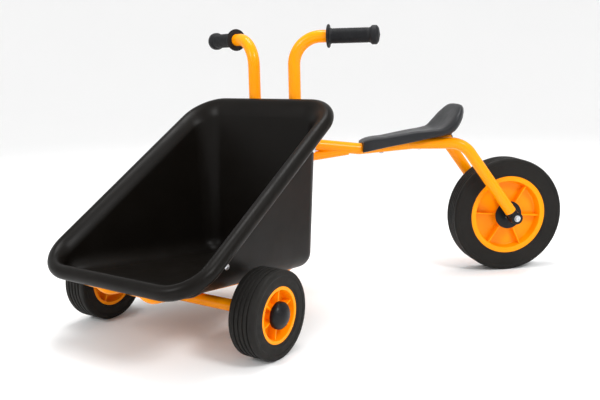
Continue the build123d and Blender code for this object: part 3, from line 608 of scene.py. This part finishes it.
for name, hand in (("left", 1), ("right", -1)):
    piece(
        name + "_handlebar", [handlebar_shell(hand)], powder_coat, "front_frame",
        [name + "_handlebar_tube"],
    )
    piece(
        name + "_ribbed_grip", [grip_shell(hand)], grip_rubber, "front_frame",
        [name + "_grip"], 50,
    )

# ---- tubes of the rear frame -------------------------------------------------------------------
main_corners = [(0, 12, 350.4), (0, main_bend_back, main_bend_up), (0, main_rear_back, main_rear_up)]
main_path = rounded(main_corners, (0, 4 * tube_radius, 0), steps=14)
piece(
    "main_rail", [pipe(trailed(*main_path.T), tube_radius, tube_wall)], powder_coat, "rear_frame",
    ["main_tube"],
)
brace_path = np.linspace((0, 12, 310.6), (0, 143, 326), 6)
piece(
    "brace_rail", [pipe(trailed(*brace_path.T), brace_radius, tube_wall)], powder_coat, "rear_frame",
    ["brace_tube"],
)

wheel_base = rear_hub[1] - pivot[1]
axle_height = rear_hub[2]
fork_corner_back = wheel_base - (fork_top - axle_height) / fork_fall
fork_way = unit(np.array([0, 1, -fork_fall]))
fork_spread = 120.0         # length over which a leg leaves the main tube
for name, hand in (("left", 1), ("right", -1)):
    fork_end = np.array([hand * fork_half, wheel_base, axle_height]) - fork_stop * fork_way
    corners = [
        (hand * 0.5, fork_corner_back - fork_spread, 336.3),
        (hand * fork_half, fork_corner_back, fork_top),
        fork_end,
    ]
    path = trailed(*rounded(corners, (0, fork_bend, 0), steps=20).T)
    # The first ring is a little thinner, so that it stays inside the main tube.
    swell = np.concatenate([[tube_radius - 0.8], np.full(len(path) - 1, tube_radius)])
    piece(
        name + "_fork_leg", [shell(round_section(path, swell))], powder_coat, "rear_frame",
        [name + "_fork_tube"],
    )

head_half, head_outer, head_inner = 37.5, 19.0, 15.5
head_corners = [
    (-head_half, head_outer),
    (head_half, head_outer),
    (head_half, head_inner),
    (-head_half, head_inner),
]
head_profile = rounded(head_corners, 0.8, looped=True)
head_axis = np.array([0.02, 0, 1.0]) / 1.0002
piece(
    "steering_head", [turned(head_profile, middle("head_tube"), head_axis, 72)], powder_coat,
    "rear_frame", ["head_tube"],
)

# ---- saddle ------------------------------------------------------------------------------------
# At shares of the saddle's length: (back, up) of its top and low lines, half width, how deep the
# middle is pressed in, half width of the hollow below, how high that reaches, and squareness.
saddle_stations = np.array([0, 0.02, 0.2, 0.4, 0.55, 0.68, 0.78, 0.87, 0.94, 1.0])
saddle_top = [
    (177, 348), (183, 351), (240, 360), (305, 370), (346, 375.5),
    (368, 383), (386, 402), (404, 424), (418, 436), (431, 430),
]
saddle_low = [
    (177, 321), (183, 322), (236, 332), (300, 342.5), (342, 351),
    (368, 355), (386, 358), (401, 365), (418, 382), (434, 402),
]
saddle_half = [25, 27, 33, 41, 53, 66, 74, 70, 54, 24]
saddle_scoop = [0, 0, 0, 1, 4, 8, 11, 10, 5, 1]
saddle_hollow = [15, 15, 15, 18, 34, 50, 58, 50, 30, 10]
saddle_roof = [0.86, 0.86, 0.72, 0.6, 0.34, 0.12, 0.02, 0.0, 0.0, 0.0]
saddle_power = [0.3, 0.3, 0.3, 0.34, 0.45, 0.6, 0.7, 0.75, 0.8, 0.85]


def saddle_shell():
    """The saddle as rings across its length, each a rounded arch over the tubes below.

    A ring's outer half is a superellipse, x = w * |cos|^p and s = |sin|^p with their signs, between
    the low and top lines. Its middle is pressed in by scoop * (1 - (x / w)^2). The inner arch, whose
    height is the roof's share of the way up, closes it.
    """
    at = np.linspace(0, 1, 70)
    top = along_curve(saddle_stations, saddle_top, at)
    low = along_curve(saddle_stations, saddle_low, at)
    half = along_curve(saddle_stations, saddle_half, at)
    scoop = along_curve(saddle_stations, saddle_scoop, at)
    hollow = along_curve(saddle_stations, saddle_hollow, at)
    roof = np.clip(along_curve(saddle_stations, saddle_roof, at), 0.0, 0.9)
    power = along_curve(saddle_stations, saddle_power, at)[:, None]
    start = -np.arccos(np.clip((hollow / half)[:, None] ** (1 / power), 0, 1))
    angle = start + (pi - 2 * start) * np.linspace(0, 1, 61)[None, :]
    x = half[:, None] * np.sign(np.cos(angle)) * np.abs(np.cos(angle)) ** power
    s = np.sign(np.sin(angle)) * np.abs(np.sin(angle)) ** power
    dip = scoop[:, None] * (1 - (x / half[:, None]) ** 2) * np.clip(s, 0, 1)
    thick = np.linalg.norm(top - low, axis=1)[:, None]
    rise = (s + 1) / 2 - dip / thick
    arch = np.linspace(pi, 0, 23)[1:-1]
    arch_x = x[:, :1] * np.sign(np.cos(arch)) * np.abs(np.cos(arch)) ** 0.5
    arched = (roof > 0.01)[:, None]
    arch_rise = rise[:, :1] + (roof[:, None] - rise[:, :1]) * np.sin(arch) ** 0.5 * arched
    x = np.concatenate([x, arch_x], axis=1)
    rise = np.concatenate([rise, arch_rise], axis=1)
    back = low[:, :1] + (top - low)[:, :1] * rise
    up = low[:, 1:] + (top - low)[:, 1:] * rise
    return shell(trailed(x, back, up))


piece("moulded_saddle", [saddle_shell()], saddle_skin, "rear_frame", ["saddle"], 60)


# ---- wheels ------------------------------------------------------------------------------------
tyre_half = 29.0
groove_depth = 2.6
rim_half = 26.0
web_half = 4.0
hub_radius = 19.0


def tyre_profile(radius, seat):
    """Section of a solid tyre with four grooves round its tread and a raised line on each wall."""
    tread = [(-tyre_half, radius)]
    for pitch in (-1.5, -0.5, 0.5, 1.5):
        groove = pitch * tyre_half / 3
        bottom = radius - groove_depth
        tread += [(groove - 1.9, radius), (groove - 1.0, bottom)]
        tread += [(groove + 1.0, bottom), (groove + 1.9, radius)]
    tread += [(tyre_half, radius)]
    wall_line = radius - 12
    right = [
        (tyre_half, wall_line + 1.6),
        (tyre_half - 0.9, wall_line),
        (tyre_half - 0.9, seat + 6),
        (tyre_half - 2.2, seat + 3),
        (tyre_half - 2.2, seat),
    ]
    left = [(-along, out) for along, out in right[::-1]]
    wall_radii = [1.0, 1.0, 2.0, 1.5, 0.4]
    radii = [6.5] + [0.5] * 16 + [6.5] + wall_radii + wall_radii[::-1]
    return rounded(tread + right + left, radii, looped=True)


def rim_profile(seat, ring, bore):
    """Section of a moulded wheel: outer ring, dished web and hub tube, from hole to seat."""
    right = [
        (rim_half, seat),
        (rim_half, seat - ring),
        (web_half, seat - ring - 3),
        (web_half, hub_radius),
        (rim_half, hub_radius),
        (rim_half, bore),
    ]
    left = [(-along, out) for along, out in right[::-1]]
    radii = [0.8, 1.6, 5.0, 3.0, 0.8, 0.6]
    return rounded(right + left, radii + radii[::-1], looped=True)


def ribs_of(hub, axle, seat, ring, start):
    """Six radial ribs: rounded oblong sections carried from the hub to the outer ring."""
    spoke = unit(np.cross(axle, UP))
    other = np.cross(axle, spoke)
    section = rounded([(-21, -1.7), (21, -1.7), (21, 1.7), (-21, 1.7)], 1.3, looped=True, steps=3)
    reach = np.linspace(18.0, seat - ring + 1.0, 12)
    shells = []
    for turn in start + np.arange(6) * pi / 3:
        out = cos(turn) * spoke + sin(turn) * other
        side = -sin(turn) * spoke + cos(turn) * other
        rings = hub + reach[:, None, None] * out + section[:, :1] * axle + section[:, 1:] * side
        shells.append(shell(rings))
    return shells


def hub_disc(hub, axle, cap):
    """A thin disc that covers a hub's face, with a rounded edge and a hole for the axle."""
    section = rounded(
        [(rim_half + 0.1, 9.5), (28.3, 9.5), (28.5, 21), (28.1, cap), (rim_half + 0.1, cap)],
        [0, 0.6, 2.0, 1.2, 0.3],
        looped=True,
    )
    return turned(section, hub, axle, 72)


def domed_cap(hub, axle, cap):
    """A cap turned about the axle, whose dome is skirt + rise * (1 - share^2)^0.8 over its radius."""
    face, skirt, crown = 21.4, 29.4, 42.5
    grip = hub_radius + 0.1
    share = np.linspace(0.02, 1, 14)[::-1]
    dome = np.column_stack([skirt + (crown - skirt) * (1 - share**2) ** 0.8, cap * share])
    rim = rounded([(face, grip), (face, cap), (skirt, cap)], [0, 0.8, 0], steps=4)[:-1]
    inside = [(crown - 2.2, 0.5), (skirt, grip)]
    return turned(np.vstack([rim, dome, inside]), hub, axle, 80)


# Radius, radius of the tyre's seat, depth of the outer ring, bore and radius of the hub cover.
rear_sizes = (145.0, 100.0, 13.0, 11.0, 35.5)
front_sizes = (85.0, 54.5, 7.0, 14.0, 26.0)
# Hub, axle, sizes, body, the nodes' first word, the ribs' turn and the sides that have a disc.
wheels = {
    "rear": (rear_hub, ACROSS, rear_sizes, "rear_wheel", "rear", radians(-5), (1, -1)),
    "left": (left_hub, LEFT, front_sizes, "left_front_wheel", "left_front", radians(20), (-1,)),
    "right": (right_hub, LEFT, front_sizes, "right_front_wheel", "right_front", radians(5), (1,)),
}
for name, (hub, axle, sizes, body, node, start, sides) in wheels.items():
    radius, seat, ring, bore, cap = sizes
    tyre = turned(tyre_profile(radius, seat), hub, axle, 128)
    piece(
        name + "_solid_tyre", [tyre], tyre_rubber, body, [node + "_tyre"], 50,
    )
    wheel = turned(rim_profile(seat, ring, bore), hub, axle, 112)
    piece(
        name + "_dished_wheel", [wheel] + ribs_of(hub, axle, seat, ring, start), wheel_plastic, body,
        [node + "_rim"], 50,
    )
    piece(
        name + "_hub_disc", [hub_disc(hub, axle * way, cap) for way in sides], black_nylon, body,
        [node + "_hub_cover"], 50,
    )

for name, hand in (("left", 1), ("right", -1)):
    hub, axle, sizes, body, node = wheels[name][:5]
    piece(
        name + "_domed_cap", [domed_cap(hub, axle * hand, sizes[-1])], black_nylon, body,
        [name + "_hubcap"], 50,
    )

# ---- screws ------------------------------------------------------------------------------------
# Half sections as (along the screw, radius): a dome that stands on a face, and a flush hollow head.
dome_head = np.array([
    (-3.0, 0.3), (-3.0, 2.4), (0.0, 2.4), (0.0, 6.0),
    (0.8, 6.0), (2.2, 4.9), (3.1, 2.6), (3.3, 0.3),
])
flush_head = np.array([
    (-8.0, 0.3), (-8.0, 2.9), (-3.4, 3.3), (-0.3, 6.5),
    (0.0, 6.2), (-0.4, 3.0), (-1.6, 2.6), (-1.6, 0.3),
])
screw_drop = 52.0           # below the rim's centre line
screw_sides = 32
wall_screws = []
for spot in (rim_back + 62.0, tub_front - 112.0):
    screw_up = mouth_top - mouth_fall * (spot - rim_back) - screw_drop
    share = (spot - tub_back) / (tub_front - tub_back)
    wall_half = tub_back_half + (tub_front_half - tub_back_half) * share
    wall_half += wall_draft * (screw_up - axle_up)
    for hand in (1, -1):
        seat = steered(spot, hand * wall_half, screw_up)
        wall_screws.append(turned(dome_head, seat, LEFT * hand, screw_sides))
piece("domed_wall_screws", wall_screws, zinc_plate, "front_frame", ["rim_screws"], 45)

floor_normal = UP * cos(floor_tilt) - AHEAD * sin(floor_tilt)
floor_back = -AHEAD * cos(floor_tilt) - UP * sin(floor_tilt)
floor_screws = []
for back in floor_screw_backs:
    for hand in (1, -1):
        above_axle = steered(axle_ahead, hand * bar_half, floor_at_axle)
        seat = above_axle + back * floor_back + (tub_wall - 0.3) * floor_normal
        floor_screws.append(turned(flush_head, seat, floor_normal, screw_sides))
piece(
    "flush_floor_screws", floor_screws, zinc_plate, "front_frame",
    ["floor_bolts", "floor_nuts", "floor_washers"], 45,
)

saddle_screws = []
for back in saddle_screw_backs:
    share = (back - main_bend_back) / (main_rear_back - main_bend_back)
    tube_under = main_bend_up + (main_rear_up - main_bend_up) * share - tube_radius
    seat = trailed(0, back, tube_under)
    saddle_screws.append(turned(dome_head, seat, -UP + 0.02 * ACROSS, screw_sides))
piece("saddle_screws", saddle_screws, zinc_plate, "rear_frame", ["saddle_bolts"], 45)

# ---- finishes of the CAD nodes that stay ---------------------------------------------------------
for node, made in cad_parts.items():
    for index, held in enumerate(made.data.materials):
        base = held.name.split(".")[0]
        if base in slot_finishes:
            made.data.materials[index] = slot_finishes[base]

# ---- floor, light and camera -------------------------------------------------------------------
def studio_bowl():
    """A round floor in metres that is flat to bowl_flat and then rises on a quarter circle."""
    around, flat_rings, rising_rings = 96, 24, 13
    bowl_flat, bowl_bend = 4.0, 3.0
    turn = np.linspace(0, 2 * pi, around, endpoint=False)
    bend = np.linspace(0, pi / 2, rising_rings + 1)[1:]
    level = np.linspace(0.02, bowl_flat, flat_rings)
    reach = np.concatenate([level, bowl_flat + bowl_bend * np.sin(bend)])
    lift = np.concatenate([np.zeros(flat_rings), bowl_bend * (1 - np.cos(bend))])
    flat = reach[:, None, None] * np.column_stack([np.cos(turn), np.sin(turn)])
    height = np.repeat(lift[:, None, None], around, axis=1)
    points = np.concatenate([flat, height], axis=-1).reshape(-1, 3)
    rows = np.arange(len(reach) - 1)[:, None] * around
    cols = np.arange(around)[None]
    onward = (cols + 1) % around
    faces = np.stack([rows + around + cols, rows + around + onward, rows + onward, rows + cols], -1)
    pole = len(points)
    fan = [(pole, i, (i + 1) % around) for i in range(around)]
    mesh = bpy.data.meshes.new("studio_sweep")
    mesh.from_pydata(points.tolist() + [(0, 0, 0)], [], faces.reshape(-1, 4).tolist() + fan)
    mesh.polygons.foreach_set("use_smooth", np.ones(len(mesh.polygons), bool))
    return mesh


sweep_mesh = studio_bowl()
studio = bpy.data.objects.new("studio_sweep", sweep_mesh)
bpy.context.scene.collection.objects.link(studio)
# Matt painted plaster: pale and even.
sweep_mesh.materials.append(finish("matt_studio_paint", ("#FAFAFA", "#FDFDFD"), 900, (0.8, 0.9), []))
studio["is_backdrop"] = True

world = bpy.data.worlds.new("studio_air")
bpy.context.scene.world = world
world.use_nodes = True
background = world.node_tree.nodes["Background"]
background.inputs["Color"].default_value = (1.0, 1.0, 1.0, 1.0)
background.inputs["Strength"].default_value = 0.8


def placed(columns, place):
    """The matrix whose axes are three columns and whose origin is a place."""
    rows = [(*row, at) for row, at in zip(np.column_stack(columns), place)]
    return Matrix(rows + [(0, 0, 0, 1)])


def soft_light(name, place, target, size, power):
    """A square panel of light that faces its target."""
    lamp = bpy.data.lights.new(name, "AREA")
    lamp.size, lamp.energy = size, power
    made = bpy.data.objects.new(name, lamp)
    way = unit(np.array(target) - np.array(place))
    side = unit(np.cross(way, UP + (0.001, 0, 0)))
    made.matrix_world = placed([side, np.cross(side, way), -way], place)
    bpy.context.scene.collection.objects.link(made)


soft_light("key_panel", (2.2, 1.2, 2.6), (0, -0.1, 0.2), 0.9, 54)
soft_light("front_panel", (1.4, -2.6, 2.0), (0, -0.2, 0.2), 0.8, 30)
soft_light("top_panel", (-0.4, 0.0, 3.2), (0, 0, 0.2), 1.4, 55)

camera = bpy.data.cameras.new("studio_camera")
camera.sensor_width = 36.0
camera.lens = 43.76
eye = bpy.data.objects.new("studio_camera", camera)
yaw, pitch, roll = radians(80.039), radians(10.857), radians(-1.328)
gaze = np.array([-cos(pitch) * sin(yaw), cos(pitch) * cos(yaw), -sin(pitch)])
level_right = unit(np.cross(gaze, UP))
level_up = np.cross(level_right, gaze)
right = cos(roll) * level_right + sin(roll) * level_up
upward = np.cross(right, gaze)
stand = (1.55394, -0.36791, 0.54690)
eye.matrix_world = placed([right, upward, -gaze], stand)
bpy.context.scene.collection.objects.link(eye)
bpy.context.scene.camera = eye
bpy.context.scene.view_settings.view_transform = "Standard"

sizes = {"cad_box": [list(c) for c in cad_box], "visual_box": [list(c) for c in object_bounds()]}
